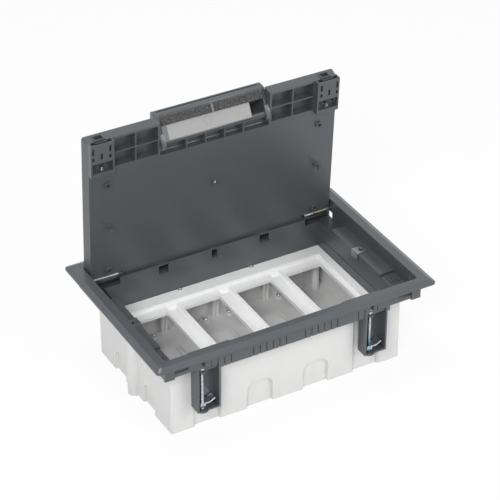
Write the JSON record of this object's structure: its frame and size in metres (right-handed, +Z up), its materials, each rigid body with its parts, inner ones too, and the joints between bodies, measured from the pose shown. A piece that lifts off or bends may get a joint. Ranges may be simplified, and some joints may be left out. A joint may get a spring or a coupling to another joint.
{
  "type": "floor socket box",
  "caption": "Rectangular in-floor box for wiring modules, with a hinged lid standing open, a raised cable outlet, clamp claws and a cast-in housing.",
  "frame": {"origin": "centre of the housing's bottom face", "axes": "+Z up, +X along the long side to the viewer's right, +Y towards the hinge side"},
  "size_m": [0.342, 0.2264, 0.2824],
  "materials": {
    "housing_plastic": "fine moulded grain",
    "frame_plastic": "satin moulded",
    "carrier_plastic": "satin moulded",
    "lid_plastic": "fine spark-eroded grain",
    "latch_plastic": "satin moulded",
    "flap_plate_plastic": "satin moulded",
    "foam": "open-cell foam",
    "zinc_steel": "bright zinc plate",
    "screw_steel": "bright zinc plate",
    "plate_steel": "galvanised sheet",
    "pin_steel": "oiled drawn rod",
    "spring_brass": "drawn wire"
  },
  "bodies": {
    "base": {"lower_housing": "housing_plastic", "top_frame": "frame_plastic", "socket_carrier": "carrier_plastic", "carrier_screws": "screw_steel", "housing_screws": "screw_steel", "floor_screws": "screw_steel", "support_bracket_left": "zinc_steel", "support_bracket_right": "zinc_steel", "clamp_housing_front_left": "frame_plastic", "clamp_housing_front_right": "frame_plastic", "clamp_housing_back_right": "frame_plastic", "clamp_housing_back_left": "frame_plastic"},
    "lid": {"lid_body": "lid_plastic", "cover_plate": "plate_steel", "hinge_pin_left": "pin_steel", "hinge_pin_right": "pin_steel", "hinge_spring": "spring_brass", "latch_cover_left": "lid_plastic", "latch_cover_right": "lid_plastic", "latch_spring_left": "zinc_steel", "latch_spring_right": "zinc_steel"},
    "flap": {"cable_flap": "lid_plastic", "flap_plate": "flap_plate_plastic", "foam_strip_left": "foam", "foam_strip_right": "foam", "foam_clip": "flap_plate_plastic"},
    "latch_left": {"latch_slider_left": "latch_plastic"},
    "latch_right": {"latch_slider_right": "latch_plastic"},
    "screw_front_left": {"clamp_screw_front_left": "zinc_steel"},
    "nut_front_left": {"clamp_nut_front_left": "zinc_steel"},
    "claw_front_left": {"clamp_claw_front_left": "zinc_steel"},
    "screw_front_right": {"clamp_screw_front_right": "zinc_steel"},
    "nut_front_right": {"clamp_nut_front_right": "zinc_steel"},
    "claw_front_right": {"clamp_claw_front_right": "zinc_steel"},
    "screw_back_right": {"clamp_screw_back_right": "zinc_steel"},
    "nut_back_right": {"clamp_nut_back_right": "zinc_steel"},
    "claw_back_right": {"clamp_claw_back_right": "zinc_steel"},
    "screw_back_left": {"clamp_screw_back_left": "zinc_steel"},
    "nut_back_left": {"clamp_nut_back_left": "zinc_steel"},
    "claw_back_left": {"clamp_claw_back_left": "zinc_steel"}
  },
  "joints": [
    {"name": "lid_hinge", "type": "hinge", "parent": "base", "child": "lid", "pos_m": [0, 0.0849, 0.0981], "axis": [1, 0, 0], "range_deg": [0, 86.57]},
    {"name": "flap_slide", "type": "slide", "parent": "lid", "child": "flap", "axis": [0, -0.9982, -0.0598], "range_m": [0, 0.012]},
    {"name": "latch_left_slide", "type": "slide", "parent": "lid", "child": "latch_left", "axis": [0, -0.0598, 0.9982], "range_m": [0, 0.003]},
    {"name": "latch_right_slide", "type": "slide", "parent": "lid", "child": "latch_right", "axis": [0, -0.0598, 0.9982], "range_m": [0, 0.003]},
    {"name": "screw_front_left_turn", "type": "hinge", "parent": "base", "child": "screw_front_left", "pos_m": [-0.1117, -0.0968, 0.0832], "axis": [0, 0, 1], "continuous": true},
    {"name": "nut_front_left_travel", "type": "slide", "parent": "base", "child": "nut_front_left", "axis": [0, 0, 1], "range_m": [0, 0.036]},
    {"name": "claw_front_left_swing", "type": "hinge", "parent": "nut_front_left", "child": "claw_front_left", "pos_m": [-0.1117, -0.0968, 0.0371], "axis": [0, 0, 1], "range_deg": [-90, 0]},
    {"name": "screw_front_right_turn", "type": "hinge", "parent": "base", "child": "screw_front_right", "pos_m": [0.0959, -0.0968, 0.0832], "axis": [0, 0, 1], "continuous": true},
    {"name": "nut_front_right_travel", "type": "slide", "parent": "base", "child": "nut_front_right", "axis": [0, 0, 1], "range_m": [0, 0.036]},
    {"name": "claw_front_right_swing", "type": "hinge", "parent": "nut_front_right", "child": "claw_front_right", "pos_m": [0.0959, -0.0968, 0.0371], "axis": [0, 0, 1], "range_deg": [-90, 0]},
    {"name": "screw_back_right_turn", "type": "hinge", "parent": "base", "child": "screw_back_right", "pos_m": [0.1117, 0.0968, 0.0832], "axis": [0, 0, 1], "continuous": true},
    {"name": "nut_back_right_travel", "type": "slide", "parent": "base", "child": "nut_back_right", "axis": [0, 0, 1], "range_m": [0, 0.036]},
    {"name": "claw_back_right_swing", "type": "hinge", "parent": "nut_back_right", "child": "claw_back_right", "pos_m": [0.1117, 0.0968, 0.0371], "axis": [0, 0, 1], "range_deg": [-90, 0]},
    {"name": "screw_back_left_turn", "type": "hinge", "parent": "base", "child": "screw_back_left", "pos_m": [-0.0959, 0.0968, 0.0832], "axis": [0, 0, 1], "continuous": true},
    {"name": "nut_back_left_travel", "type": "slide", "parent": "base", "child": "nut_back_left", "axis": [0, 0, 1], "range_m": [0, 0.036]},
    {"name": "claw_back_left_swing", "type": "hinge", "parent": "nut_back_left", "child": "claw_back_left", "pos_m": [-0.0959, 0.0968, 0.0371], "axis": [0, 0, 1], "range_deg": [-90, 0]}
  ]
}
